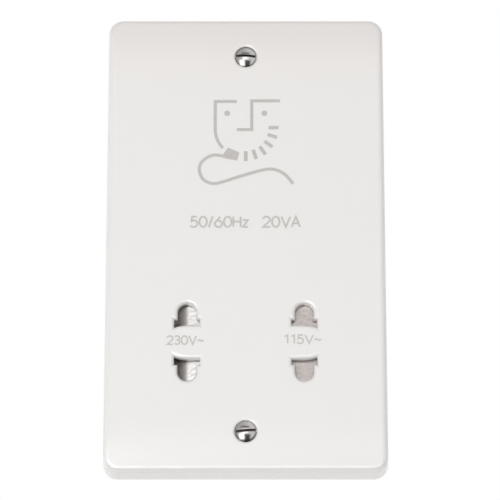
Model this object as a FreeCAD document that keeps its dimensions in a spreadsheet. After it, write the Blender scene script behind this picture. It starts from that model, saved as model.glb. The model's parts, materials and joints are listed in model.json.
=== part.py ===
import FreeCAD, Part
import math
import os
import re

import Sketcher
from FreeCAD import Placement, Rotation, Vector

# Two-voltage shaver socket for a two-gang wall box.
# Frame in millimetres: X to the right, Z up, the front faces -Y and the wall plane is Y = 0.
# The origin lies midway between the two fixing screws, on the wall plane.

doc = FreeCAD.newDocument("shaver_socket")
sheet = doc.addObject("Spreadsheet::Sheet", "Sizes")

SIZES = {
    # Front plate
    "plate_width": "86",
    "plate_height": "146",
    "plate_depth": "9",
    "plate_corner": "4.5",
    "plate_edge": "1.8",
    "side_draft": "2",
    "face_wall": "2.5",
    "side_wall": "2.2",
    "cavity_corner": "2.3",
    "rib_wall": "1.2",
    "rib_height": "1.5",
    "rib_pitch": "17",
    # Fixing screws, size M3.5
    "fixing_centres": "120.6",
    "fixing_boss": "10",
    "boss_setback": "1",
    "seat_width": "7.5",
    "seat_lip": "0.9",
    "fixing_hole": "4.4",
    "fixing_head": "6.9",
    "fixing_dome": "1.05",
    "fixing_neck": "3.1",
    "fixing_thread": "3.5",
    "fixing_length": "25",
    "thread_start": "0.8",
    "screw_point": "0.8",
    "driver_slot": "0.8",
    "driver_depth": "1.5",
    "slot_tilt_upper": "-2",
    "slot_tilt_lower": "5",
    # Outlets and their pin holes, measured outwards from each outlet's middle
    "outlet_pitch": "35.6",
    "outlet_height": "-32.3",
    "pin_radius": "2.8",
    "pin_centre": "9.4",
    "blade_width": "7.7",
    "blade_inner": "5.3",
    "blade_outer": "7.15",
    "blade_curve": "0.75",
    "lead_in": "1.1",
    # Spring contacts
    "leaf_thick": "0.5",
    "leaf_width": "8.2",
    "leaf_gap": "0.35",
    "leg_place": "15.2",
    "leaf_bend": "13.2",
    "leaf_end": "3.6",
    "leaf_fall": "0.8",
    "trough_radius": "9",
    "trough_setback": "1.2",
    "trough_fall": "0.6",
    "trough_lap": "0.7",
    "trough_inset": "0.2",
    "tail_reach": "3.5",
    # Contact carrier
    "carrier_half": "30",
    "carrier_wall": "1.5",
    "carrier_corner": "2",
    "carrier_floor": "2",
    "carrier_gap": "0.3",
    "carrier_back": "14",
    "leg_gap": "0.35",
    "slot_gap": "0.15",
    "carrier_screw_place": "25.4",
    # See-saw interlock
    "pivot_depth": "6.3",
    "pin_width": "2",
    "pin_gap": "0.05",
    "hub_width": "5.6",
    "end_gap": "0.3",
    "rocker_half": "22",
    "rocker_height": "24",
    "rocker_tip": "1.6",
    "rocker_waist": "3.1",
    "waist_half": "4",
    "button_width": "6",
    "button_rise": "0.6",
    "button_place": "8",
    "nub_width": "2.4",
    "nub_place": "10.5",
    "nub_length": "6",
    "nub_rise": "1.1",
    # Switch
    "switch_width": "4",
    "switch_thick": "0.4",
    "switch_gap": "0.3",
    "switch_root": "15.3",
    "switch_tip": "10.3",
    "switch_stud": "2.2",
    "stud_rise": "0.5",
    "stud_inset": "1.5",
    "strip_reach": "2.5",
    "strip_tail": "3",
    "pedestal_length": "3",
    "pedestal_side": "0.5",
    "strip_width": "3",
    # Small screws
    "small_shank": "2.8",
    "small_pilot": "2.9",
    "small_head": "5.2",
    "small_head_height": "1.7",
    "small_slot_depth": "0.8",
    "small_head_edge": "0.5",
    "small_hole": "3.3",
    "small_boss": "5.6",
    "screw_bite": "6",
    "pilot_gap": "1",
    "end_play": "0.05",
    # Rear housing
    "housing_width": "66",
    "housing_half": "52",
    "housing_wall": "1.8",
    "housing_depth": "38",
    "step_depth": "21",
    "step_height": "-8",
    "housing_edge": "2.5",
    "lug_place": "24",
    "lug_reach": "2.85",
    "lug_width": "6.4",
    "lug_boss": "5",
    "lug_thick": "2",
    "lug_setback": "2.5",
    "lug_screw_bite": "4.2",
    "vent_length": "26",
    "vent_width": "2.2",
    "vent_pitch": "6",
    "vent_count": "5",
    # Transformer
    "limb": "8",
    "stack": "20",
    "core_height": "23.5",
    "core_gap": "0.3",
    "former_wall": "1.2",
    "coil_depth": "6",
    "coil_corner": "4",
    "coil_gap": "0.15",
    "strap_thick": "1",
    "strap_width": "6.4",
    "strap_foot": "6.5",
    "strap_bite": "5",
    "post_width": "5",
    "cutout_width": "9",
    "cutout_height": "8.6",
    "cutout_thick": "3",
    # Supply terminals
    "terminal_pitch": "13",
    "terminal_width": "7",
    "terminal_depth": "9",
    "terminal_height": "10",
    "terminal_place": "-27",
    "terminal_bore": "3.8",
    "terminal_screw": "3",
    "terminal_gap": "0.15",
    "block_wall": "2.2",
    "block_floor": "1.5",
    "terminal_edge": "0.6",
    "bore_inset": "3.4",
    "wire_mouth": "5",
    "lead_hole": "2.4",
    # Internal leads
    "lead_width": "1.3",
    "lead_gap": "0.25",
    "lead_rise": "12.75",
    "lead_turn": "5",
    "lead_inner": "7",
    "lead_outer": "10.5",
    "cutout_lead": "2",
}

for row, (alias, text) in enumerate(SIZES.items(), 1):
    sheet.set(f"A{row}", alias)
    sheet.set(f"B{row}", text)
    sheet.setAlias(f"B{row}", alias)
doc.recompute()


def s(text):
    """An expression over the sheet: every size named in it becomes that cell."""
    return re.sub(r"[A-Za-z_]\w*", lambda word: "Sizes." + word[0] if word[0] in SIZES else word[0], text)


def number(text):
    """The value of an expression over the sheet."""
    return float(sheet.evalExpression(s(text)))


# Planes that several pieces share, as depths along Y
FACE_BACK = "(face_wall - plate_depth)"
CARRIER_FRONT = f"({FACE_BACK} + carrier_gap)"
FLOOR_TOP = "(carrier_back - carrier_floor)"
ROCKER_FRONT = "(pivot_depth - rocker_tip / 2)"
NUB_BACK = "(pivot_depth + rocker_tip / 2 + nub_rise + nub_width / 4)"
BLADE_FRONT = f"({NUB_BACK} + switch_gap)"
BLADE_BACK = f"({BLADE_FRONT} + switch_thick)"
HEAD_EDGE = "((seat_width - fixing_head) / 2 - plate_depth - end_play)"
LUG_FRONT = "(0 - lug_setback - lug_thick)"
LUG_HEIGHT = "(housing_half + lug_reach)"

# Distances outwards from an outlet's middle
WALL_INNER = "(leg_place + leaf_thick + leg_gap)"
CARRIER_TOP = f"(outlet_height + {WALL_INNER} + carrier_wall)"
CARRIER_FOOT = f"(outlet_height - {WALL_INNER} - carrier_wall)"

# The coil's overall half sizes, and the middle of the core behind the wall plane
FORMER_HALF_X = "(limb + core_gap + former_wall)"
FORMER_HALF_Y = "(stack / 2 + core_gap + former_wall)"
FLANGE_HALF_X = f"({FORMER_HALF_X} + coil_depth + coil_gap)"
FLANGE_HALF_Y = f"({FORMER_HALF_Y} + coil_depth + coil_gap)"
CORE_MIDDLE = f"(housing_depth - housing_wall - core_gap - {FLANGE_HALF_Y})"
CORE_BACK = f"({CORE_MIDDLE} + stack / 2)"
CORE_FRONT = f"({CORE_MIDDLE} - stack / 2)"
COIL_FRONT = f"({CORE_MIDDLE} - {FORMER_HALF_Y} - coil_depth)"
WINDOW = "(3 * limb - 2 * core_gap)"
BAY = f"(({WINDOW} - 3 * former_wall) / 2)"
PRIMARY_MIDDLE = f"(core_height + ({BAY} + former_wall) / 2)"
SECONDARY_MIDDLE = f"(core_height - ({BAY} + former_wall) / 2)"
STRAP_SIDE = "(3 * limb + end_play)"
STRAP_SCREW = f"({STRAP_SIDE} + (strap_foot + strap_thick) / 2)"

# The terminal block stands on the housing's step
BLOCK_BACK = "(step_depth + block_floor + terminal_depth)"
BORE_DEPTH = "(step_depth + block_floor + bore_inset)"

# The leads run behind the contact tails, over the carrier and up the front of the coils
TAIL_DEPTH = "(carrier_back + tail_reach / 2)"
LEAD_DEPTH = "(step_depth - housing_wall - lead_gap - lead_width / 2)"
LEAD_LEVEL = f"({CARRIER_TOP} + lead_rise)"
LEAD_FRONT = f"({CORE_MIDDLE} - {FLANGE_HALF_Y} - end_play - lead_width / 2)"


def body(name):
    """A PartDesign body with the sub-part's name."""
    item = doc.addObject("PartDesign::Body", name)
    item.Label = name
    item.AllowCompound = True
    return item


def sketch(owner, name, role, shift="0"):
    """A sketch on one of the body's own planes, moved along that plane's normal by shift."""
    item = owner.newObject("Sketcher::SketchObject", name)
    plane = [entry for entry in owner.Origin.OriginFeatures if entry.Role == role][0]
    item.AttachmentSupport = [(plane, "")]
    item.MapMode = "FlatFace"
    item.setExpression("AttachmentOffset.Base.z", s(shift))
    return item


def bind_point(item, geometry, end, x, y):
    """Holds a point of the sketch at x and y, two expressions over the sheet."""
    for kind, text in (("DistanceX", x), ("DistanceY", y)):
        constraint = Sketcher.Constraint(kind, -1, 1, geometry, end, number(text))
        index = item.addConstraint(constraint)
        item.setExpression(f"Constraints[{index}]", s(text))


def chain(item, points, closed, arcs):
    """Lines through points, each coordinate bound to the sheet.

    arcs gives, for a segment's number, its centre as (x, y), the axis along which the centre is
    bound, and whether it runs clockwise.
    """
    spots = [Vector(number(x), number(y), 0) for x, y in points]
    first = item.GeometryCount
    count = len(points) if closed else len(points) - 1
    starts = {}
    stops = {}
    for index in range(count):
        start = spots[index]
        stop = spots[(index + 1) % len(points)]
        if index not in arcs:
            item.addGeometry(Part.LineSegment(start, stop), False)
            starts[index] = 1
            stops[index] = 2
            continue
        x, y, axis, clockwise = arcs[index]
        centre = Vector(number(x), number(y), 0)
        begin, finish = (stop, start) if clockwise else (start, stop)
        angles = [math.atan2(p.y - centre.y, p.x - centre.x) for p in (begin, finish)]
        circle = Part.Circle(centre, Vector(0, 0, 1), (start - centre).Length)
        item.addGeometry(Part.ArcOfCircle(circle, angles[0], angles[1]), False)
        starts[index] = 2 if clockwise else 1
        stops[index] = 1 if clockwise else 2
    for index in range(count):
        geometry = first + index
        after = (index + 1) % count
        bind_point(item, geometry, starts[index], *points[index])
        if closed or after:
            joint = Sketcher.Constraint("Coincident", geometry, stops[index], first + after, starts[after])
            item.addConstraint(joint)
        if index in arcs:
            x, y, axis, clockwise = arcs[index]
            text = x if axis == "X" else y
            constraint = Sketcher.Constraint("Distance" + axis, -1, 1, geometry, 3, number(text))
            item.setExpression(f"Constraints[{item.addConstraint(constraint)}]", s(text))
    if not closed:
        bind_point(item, first + count - 1, stops[count - 1], *points[-1])


def loop(item, points, arcs=None):
    """A closed outline."""
    chain(item, points, True, arcs or {})


def rectangle(item, left, right, low, high):
    """A closed rectangle between four expressions."""
    loop(item, [(left, low), (right, low), (right, high), (left, high)])


def circle(item, x, y, width):
    """A circle of the given width across."""
    radius = number(f"({width}) / 2")
    index = item.addGeometry(Part.Circle(Vector(number(x), number(y), 0), Vector(0, 0, 1), radius), False)
    bind_point(item, index, 3, x, y)
    constraint = item.addConstraint(Sketcher.Constraint("Radius", index, radius))
    item.setExpression(f"Constraints[{constraint}]", s(f"({width}) / 2"))


def add(owner, kind, profile, bound, **settings):
    """A PartDesign feature of a sketch, with its bound sizes and its plain settings."""
    item = owner.newObject("PartDesign::" + kind, f"{profile.Name}_{kind.lower()}")
    item.Profile = profile
    for name, value in settings.items():
        setattr(item, name, value)
    for name, text in bound.items():
        item.setExpression(name, s(text))
    profile.Visibility = False
    doc.recompute()
    return item


def pad(owner, profile, length, **settings):
    """The sketch raised along its normal."""
    return add(owner, "Pad", profile, {"Length": length}, **settings)


def pocket(owner, profile, length, **settings):
    """The sketch cut against its normal."""
    return add(owner, "Pocket", profile, {"Length": length}, **settings)


def through(owner, profile, **settings):
    """The sketch cut through everything on the far side of its plane."""
    return add(owner, "Pocket", profile, {}, Type="ThroughAll", **settings)


def dress(owner, kind, name, size, test):
    """A fillet or chamfer on every edge of the body whose box passes the test."""
    base = owner.Tip
    names = [f"Edge{i}" for i, edge in enumerate(base.Shape.Edges, 1) if test(edge.BoundBox)]
    item = owner.newObject("PartDesign::" + kind, name)
    item.Base = (base, names)
    item.setExpression("Radius" if kind == "Fillet" else "Size", s(size))
    doc.recompute()
    return item


def close(a, b):
    """Whether two lengths agree to a hundredth of a millimetre."""
    return abs(a - b) < 0.01


def lies_at_depth(text):
    """A test for edges that lie in the plane at one depth along Y."""
    depth = number(text)
    return lambda box: close(box.YMin, depth) and close(box.YMax, depth)


def place(item, x="0", y="0", z="0", turn=0):
    """Puts a sub-part at x, y, z, turned about the vertical."""
    item.Placement = Placement(Vector(), Rotation(Vector(0, 0, 1), turn))
    for axis, text in (("x", x), ("y", y), ("z", z)):
        item.setExpression(f"Placement.Base.{axis}", s(text))


def group(name, members):
    """Separate solids under one name."""
    item = doc.addObject("Part::Compound", name)
    item.Label = name
    item.Links = members
    return item


def fused(name, members):
    """Solids joined into one."""
    item = doc.addObject("Part::MultiFuse", name)
    item.Label = name
    item.Shapes = members
    return item


def pin_hole(item, side, way):
    """The outline of one pin hole: a round pin's arch on top of a flat blade's slot.

    side is -1 for the left outlet and way is 1 for the upper hole. The slot's outer end bends
    towards the outlet's middle.
    """
    middle = f"{side} * outlet_pitch / 2"

    def spot(across, out):
        return (f"{middle} + {across}", f"outlet_height + {way} * ({out})")

    bend = "blade_inner - blade_curve"
    points = [
        spot("0 - blade_width / 2", bend if side < 0 else "blade_inner"),
        spot("0", "blade_inner"),
        spot("blade_width / 2", bend if side > 0 else "blade_inner"),
        spot("blade_width / 2", "blade_outer"),
        spot("pin_radius", "blade_outer"),
        spot("pin_radius", "pin_centre"),
        spot("0 - pin_radius", "pin_centre"),
        spot("0 - pin_radius", "blade_outer"),
        spot("0 - blade_width / 2", "blade_outer"),
    ]
    bend_radius = "(blade_width ^ 2 / 4 + blade_curve ^ 2) / (2 * blade_curve)"
    dome = (*spot("0", "pin_centre"), "Y", way < 0)
    hollow = (*spot("0", f"blade_inner - {bend_radius}"), "X", way > 0)
    loop(item, points, {5: dome, (0 if side < 0 else 1): hollow})


def front_plate():
    """The hollow moulded front with pin holes, screw seats, bosses and stiffening ribs."""
    plate = body("front_plate")
    outline = sketch(plate, "plate_outline", "XZ_Plane")
    rectangle(outline, "0 - plate_width / 2", "plate_width / 2", "0 - plate_height / 2", "plate_height / 2")
    solid = pad(plate, outline, "plate_depth")
    solid.setExpression("TaperAngle", s("0 - side_draft"))
    doc.recompute()
    reach = number("plate_depth")
    dress(plate, "Fillet", "plate_corners", "plate_corner", lambda box: close(box.YLength, reach))
    dress(plate, "Fillet", "plate_rim", "plate_edge", lies_at_depth("0 - plate_depth"))

    cavity = sketch(plate, "plate_cavity", "XZ_Plane")
    rectangle(
        cavity,
        "side_wall - plate_width / 2",
        "plate_width / 2 - side_wall",
        "side_wall - plate_height / 2",
        "plate_height / 2 - side_wall",
    )
    hollow = pocket(plate, cavity, "plate_depth - face_wall", Reversed=True)
    hollow.setExpression("TaperAngle", s("0 - side_draft"))
    doc.recompute()
    inside = number("plate_depth - face_wall")
    half = number("(plate_width - side_wall) / 2")
    dress(
        plate,
        "Fillet",
        "cavity_corners",
        "cavity_corner",
        lambda box: close(box.YLength, inside) and abs(box.XMin) < half,
    )

    ribs = sketch(plate, "plate_ribs", "XZ_Plane", f"0 - {FACE_BACK}")
    for way in (-1, 0, 1):
        middle = f"core_height + {way} * rib_pitch"
        rectangle(
            ribs,
            "0 - housing_width / 2 + 2 * housing_wall",
            "housing_width / 2 - 2 * housing_wall",
            f"{middle} - rib_wall / 2",
            f"{middle} + rib_wall / 2",
        )
    pad(plate, ribs, "rib_height", Reversed=True)

    bosses = sketch(plate, "fixing_bosses", "XZ_Plane", f"0 - {FACE_BACK}")
    for way in (-1, 1):
        circle(bosses, "0", f"{way} * fixing_centres / 2", "fixing_boss")
    pad(plate, bosses, f"0 - boss_setback - {FACE_BACK}", Reversed=True)

    lug_bosses = sketch(plate, "lug_bosses", "XZ_Plane", f"0 - {FACE_BACK}")
    lug_pilots = sketch(plate, "lug_pilots", "XZ_Plane", f"end_play - {LUG_FRONT}")
    for side in (-1, 1):
        for way in (-1, 1):
            spot = (f"{side} * lug_place", f"{way} * {LUG_HEIGHT}")
            circle(lug_bosses, *spot, "lug_boss")
            circle(lug_pilots, *spot, "small_pilot")
    pad(plate, lug_bosses, f"{LUG_FRONT} - end_play - {FACE_BACK}", Reversed=True)
    pocket(plate, lug_pilots, "lug_screw_bite - lug_thick", Reversed=True)

    stems = sketch(plate, "carrier_stems", "XZ_Plane", f"0 - {FACE_BACK}")
    stem_pilots = sketch(plate, "stem_pilots", "XZ_Plane", f"end_play - {FLOOR_TOP}")
    for side in (-1, 1):
        spot = (f"{side} * carrier_screw_place", "outlet_height")
        circle(stems, *spot, "small_boss")
        circle(stem_pilots, *spot, "small_pilot")
    pad(plate, stems, f"{FLOOR_TOP} - end_play - {FACE_BACK}", Reversed=True)
    pocket(plate, stem_pilots, "screw_bite + pilot_gap", Reversed=True)

    holes = sketch(plate, "pin_holes", "XZ_Plane", "plate_depth")
    for side in (-1, 1):
        for way in (-1, 1):
            pin_hole(holes, side, way)
    pocket(plate, holes, "face_wall")
    reach = number("outlet_pitch")
    front = lies_at_depth("0 - plate_depth")
    low = number("outlet_height - leg_place")
    high = number("outlet_height + leg_place")
    dress(
        plate,
        "Fillet",
        "pin_hole_lips",
        "lead_in",
        lambda box: front(box) and abs(box.XMin) < reach and low < box.ZMin and box.ZMax < high,
    )

    seats = sketch(plate, "screw_seats", "XZ_Plane", "plate_depth")
    for way in (-1, 1):
        circle(seats, "0", f"{way} * fixing_centres / 2", "fixing_hole")
    seat = plate.newObject("PartDesign::Hole", "screw_seat_holes")
    seat.Profile = seats
    doc.recompute()
    seat.ThreadType = "None"
    seat.HoleCutType = "Countersink"
    seat.HoleCutCustomValues = True
    seat.HoleCutCountersinkAngle = 90
    seat.DepthType = "ThroughAll"
    seat.setExpression("Diameter", s("fixing_hole"))
    seat.setExpression("HoleCutDiameter", s("seat_width"))
    doc.recompute()
    dress(
        plate,
        "Fillet",
        "seat_lips",
        "seat_lip",
        lambda box: front(box) and abs(box.Center.x) < 0.01 and close(box.XLength, number("seat_width")),
    )
    return plate


def revolved_screw(name, points, arcs, head_plane, slot_depth, tilt):
    """A screw turned about the Y axis, with a driver slot cut from the head's plane."""
    item = body(name)
    profile = sketch(item, f"{name}_profile", "YZ_Plane")
    loop(profile, points, arcs)
    turned = item.newObject("PartDesign::Revolution", f"{name}_turned")
    turned.Profile = profile
    turned.ReferenceAxis = (profile, ["H_Axis"])
    turned.Angle = 360
    doc.recompute()
    slot = sketch(item, f"{name}_slot", "XZ_Plane", f"0 - {head_plane}")
    slot.AttachmentOffset = Placement(Vector(), Rotation(Vector(0, 0, 1), tilt))
    slot.setExpression("AttachmentOffset.Base.z", s(f"0 - {head_plane}"))
    rectangle(slot, "0 - fixing_head", "fixing_head", "0 - driver_slot / 2", "driver_slot / 2")
    pocket(item, slot, slot_depth)
    return item


def fixing_screws():
    """Two raised countersunk screws with a plain neck and a thread behind the plate."""
    apex = f"({HEAD_EDGE} - fixing_dome)"
    dome_radius = "((fixing_head ^ 2 / 4 + fixing_dome ^ 2) / (2 * fixing_dome))"
    tip = f"({HEAD_EDGE} + fixing_length)"
    points = [
        (apex, "0"),
        (HEAD_EDGE, "fixing_head / 2"),
        (f"{HEAD_EDGE} + (fixing_head - fixing_neck) / 2", "fixing_neck / 2"),
        ("0 - thread_start", "fixing_neck / 2"),
        ("0 - thread_start", "fixing_thread / 2"),
        (f"{tip} - screw_point", "fixing_thread / 2"),
        (tip, "fixing_thread / 2 - screw_point"),
        (tip, "0"),
    ]
    arcs = {0: (f"{apex} + {dome_radius}", "0", "X", True)}
    members = []
    for name, way, tilt in (
        ("fixing_screw_upper", 1, "slot_tilt_upper"),
        ("fixing_screw_lower", -1, "slot_tilt_lower"),
    ):
        item = revolved_screw(name, points, arcs, apex, "driver_depth", number(tilt))
        place(item, z=f"{way} * fixing_centres / 2")
        members.append(item)
    return group("fixing_screws", members)


def small_screw(name, x, y, z, bite, turn):
    """A pan-head screw with its seat at x, y, z; turned by 180 its head faces the rear."""
    points = [
        ("0 - small_head_height", "0"),
        ("0 - small_head_height", "small_head / 2"),
        ("0", "small_head / 2"),
        ("0", "small_shank / 2"),
        (f"{bite} - screw_point", "small_shank / 2"),
        (bite, "small_shank / 2 - screw_point"),
        (bite, "0"),
    ]
    item = revolved_screw(name, points, {}, "(0 - small_head_height)", "small_slot_depth", 0)
    front = lies_at_depth("0 - small_head_height")
    width = number("small_head")
    dress(
        item,
        "Fillet",
        f"{name}_edge",
        "small_head_edge",
        lambda box: front(box) and box.ZLength > width / 3,
    )
    place(item, x, y, z, turn)
    return item


def carrier_screws():
    """Two screws from the carrier's floor into the plate's stems."""
    members = []
    for name, side in (("carrier_screw_left", -1), ("carrier_screw_right", 1)):
        where = (f"{side} * carrier_screw_place", "carrier_back + end_play", "outlet_height")
        members.append(small_screw(name, *where, "(carrier_floor + screw_bite)", 180))
    return group("carrier_screws", members)


def housing_screws():
    """Four screws through the housing's lugs into the plate."""
    members = []
    for column, side in (("left", -1), ("right", 1)):
        for row, way in (("lower", -1), ("upper", 1)):
            where = (f"{side} * lug_place", "end_play - lug_setback", f"{way} * {LUG_HEIGHT}")
            members.append(small_screw(f"housing_screw_{row}_{column}", *where, "lug_screw_bite", 180))
    return group("housing_screws", members)


def strap_screws():
    """Four screws through the feet of the core straps into the housing's posts."""
    members = []
    for column, side in (("left", -1), ("right", 1)):
        for row, way in (("lower", -1), ("upper", 1)):
            depth = f"{CORE_BACK} - strap_thick - end_play"
            where = (f"{side} * {STRAP_SCREW}", depth, f"core_height + {way} * 2 * limb")
            bite = "(strap_thick + strap_bite)"
            members.append(small_screw(f"strap_screw_{row}_{column}", *where, bite, 0))
    return group("strap_screws", members)


def strip(name, points, thick, width, middle, level=False):
    """Sheet metal bent along an open line and widened to both sides of it.

    The line lies in the YZ plane moved to X = middle, or a level one in the XY plane at Z = middle.
    """
    line = doc.addObject("Sketcher::SketchObject", f"{name}_line")
    if level:
        line.setExpression("Placement.Base.z", s(middle))
    else:
        upright = Rotation(Vector(0, 1, 0), Vector(0, 0, 1), Vector(1, 0, 0), "ZXY")
        line.Placement = Placement(Vector(), upright)
        line.setExpression("Placement.Base.x", s(middle))
    chain(line, points, False, {})
    sheet_edge = doc.addObject("Part::Offset2D", f"{name}_edge")
    sheet_edge.Source = line
    sheet_edge.Mode = "Skin"
    sheet_edge.Join = "Arc"
    sheet_edge.Fill = True
    sheet_edge.setExpression("Value", s(thick))
    item = doc.addObject("Part::Extrusion", name)
    item.Label = name
    item.Base = sheet_edge
    item.DirMode = "Custom"
    item.Dir = Vector(0, 0, 1) if level else Vector(1, 0, 0)
    item.Solid = True
    item.Symmetric = True
    item.setExpression("LengthFwd", s(width))
    doc.recompute()
    return item


def mirrored(name, source, height):
    """The same form below a level plane at a height."""
    item = doc.addObject("Part::Mirroring", name)
    item.Label = name
    item.Source = source
    item.Normal = Vector(0, 0, 1)
    item.setExpression("Base.z", s(height))
    doc.recompute()
    return item


def contacts():
    """Three spring contacts: a trough leaf and a flat leaf above, and one comb with both below."""
    left = "(0 - outlet_pitch / 2)"
    right = "(outlet_pitch / 2)"
    leg = "(outlet_height + leg_place + leaf_thick)"
    bend = "(outlet_height + leaf_bend)"
    tail = "(carrier_back + tail_reach)"
    head = f"({FACE_BACK} + leaf_gap)"
    flat_points = [
        (f"{head} + leaf_fall", "outlet_height + leaf_end"),
        (head, bend),
        (head, leg),
        (tail, leg),
    ]
    upper_flat = strip("contact_115v", flat_points, "leaf_thick", "leaf_width", right)
    deep = f"({head} + trough_setback)"
    leg_points = [(deep, f"{bend} - trough_lap"), (deep, leg), (tail, leg)]
    upper_leg = strip("trough_leg", leg_points, "leaf_thick", "leaf_width", left)

    trough_run = doc.addObject("Sketcher::SketchObject", "trough_section")
    trough_run.Placement = Placement(Vector(), Rotation(Vector(1, 0, 0), 30))
    rise = "(leaf_bend - leaf_end)"
    trough_run.setExpression("Placement.Base.x", s(left))
    trough_run.setExpression("Placement.Base.y", s(f"{deep} + trough_fall"))
    trough_run.setExpression("Placement.Base.z", s("outlet_height + leaf_end"))
    trough_run.setExpression("Placement.Rotation.Angle", s(f"atan2(trough_fall; {rise})"))
    half = "(leaf_width / 2 - trough_inset)"
    centre = ("0", "0 - trough_radius")
    near = f"(sqrt(trough_radius ^ 2 - {half} ^ 2) - trough_radius)"
    far = f"(sqrt((trough_radius + leaf_thick) ^ 2 - {half} ^ 2) - trough_radius)"
    loop(
        trough_run,
        [(f"0 - {half}", near), (half, near), (half, far), (f"0 - {half}", far)],
        {0: (*centre, "Y", True), 2: (*centre, "Y", False)},
    )
    trough = doc.addObject("Part::Extrusion", "trough")
    trough.Base = trough_run
    trough.DirMode = "Normal"
    trough.Solid = True
    trough.setExpression("LengthFwd", s(f"sqrt(trough_fall ^ 2 + {rise} ^ 2) + trough_lap / 2"))
    upper_trough = fused("contact_230v", [upper_leg, trough])
    doc.recompute()

    lower_flat = mirrored("lower_flat_leaf", upper_flat, "outlet_height")
    lower_trough = mirrored("lower_trough_leaf", upper_trough, "outlet_height")
    bar = doc.addObject("Part::Box", "comb_bar")
    bar.setExpression("Length", s("outlet_pitch + leaf_width"))
    bar.setExpression("Width", s("tail_reach - end_play"))
    bar.setExpression("Height", s("leaf_thick"))
    bar.setExpression("Placement.Base.x", s("0 - (outlet_pitch + leaf_width) / 2"))
    bar.setExpression("Placement.Base.y", s("carrier_back + end_play"))
    bar.setExpression("Placement.Base.z", s("outlet_height - leg_place - leaf_thick"))
    common = fused("contact_common", [lower_trough, lower_flat, bar])
    return [upper_trough, upper_flat, common]


def contact_carrier():
    """The open tray behind the outlets that holds the contacts, the rocker's pin and the switch."""
    tray = body("contact_carrier")
    outline = sketch(tray, "carrier_outline", "XZ_Plane", "0 - carrier_back")
    rectangle(outline, "0 - carrier_half", "carrier_half", CARRIER_FOOT, CARRIER_TOP)
    depth = f"(carrier_back - {CARRIER_FRONT})"
    pad(tray, outline, depth)
    reach = number(depth)
    dress(tray, "Fillet", "carrier_corners", "carrier_corner", lambda box: close(box.YLength, reach))

    inside = sketch(tray, "carrier_inside", "XZ_Plane", f"0 - {CARRIER_FRONT}")
    inner_foot = f"(outlet_height - {WALL_INNER})"
    inner_top = f"(outlet_height + {WALL_INNER})"
    rectangle(
        inside,
        "carrier_wall - carrier_half",
        "carrier_half - carrier_wall",
        inner_foot,
        inner_top,
    )
    pocket(tray, inside, f"{FLOOR_TOP} - {CARRIER_FRONT}")

    pedestals = sketch(tray, "switch_pedestals", "XZ_Plane", f"0 - {FLOOR_TOP}")
    for side in (-1, 1):
        middle = f"{side} * nub_place"
        half = "switch_width / 2 + pedestal_side"
        low = f"{inner_top} - pedestal_length"
        high = f"{inner_top} + carrier_wall / 2"
        rectangle(pedestals, f"{middle} - ({half})", f"{middle} + {half}", low, high)
    pad(tray, pedestals, f"{FLOOR_TOP} - {BLADE_BACK}")

    slots = sketch(tray, "floor_slots", "XZ_Plane", "0 - carrier_back")
    for side in (-1, 1):
        middle = f"{side} * outlet_pitch / 2"
        half = "leaf_width / 2 + slot_gap"
        for way in (-1, 1):
            near = f"outlet_height + {way} * (leg_place - slot_gap)"
            far = f"outlet_height + {way} * (leg_place + leaf_thick + slot_gap)"
            rectangle(slots, f"{middle} - ({half})", f"{middle} + {half}", near, far)
        circle(slots, f"{side} * carrier_screw_place", "outlet_height", "small_hole")
        middle = f"{side} * nub_place"
        half = "switch_width / 2 + slot_gap"
        near = "outlet_height + switch_root - switch_thick - slot_gap"
        far = "outlet_height + switch_root + slot_gap"
        rectangle(slots, f"{middle} - ({half})", f"{middle} + {half}", near, far)
    height = "outlet_height - switch_tip + stud_inset"
    rectangle(
        slots,
        "0 - strip_tail / 2 - slot_gap",
        "strip_tail / 2 + slot_gap",
        f"{height} - leaf_thick / 2 - slot_gap",
        f"{height} + leaf_thick / 2 + slot_gap",
    )
    through(tray, slots, Reversed=True)

    pin_holes = sketch(tray, "carrier_pin_holes", "XY_Plane")
    circle(pin_holes, "0", "pivot_depth", "pin_width + 2 * pin_gap")
    through(tray, pin_holes)
    return tray


def rocker_pin():
    """The steel pin across the carrier that the rocker turns on."""
    pin = body("rocker_pin")
    end = sketch(pin, "pin_end", "XY_Plane", f"{CARRIER_FOOT} + end_gap")
    circle(end, "0", "pivot_depth", "pin_width")
    pad(pin, end, f"{CARRIER_TOP} - {CARRIER_FOOT} - 2 * end_gap")
    dress(pin, "Chamfer", "pin_chamfers", "end_gap", lambda box: close(box.ZLength, 0))
    return pin


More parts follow.
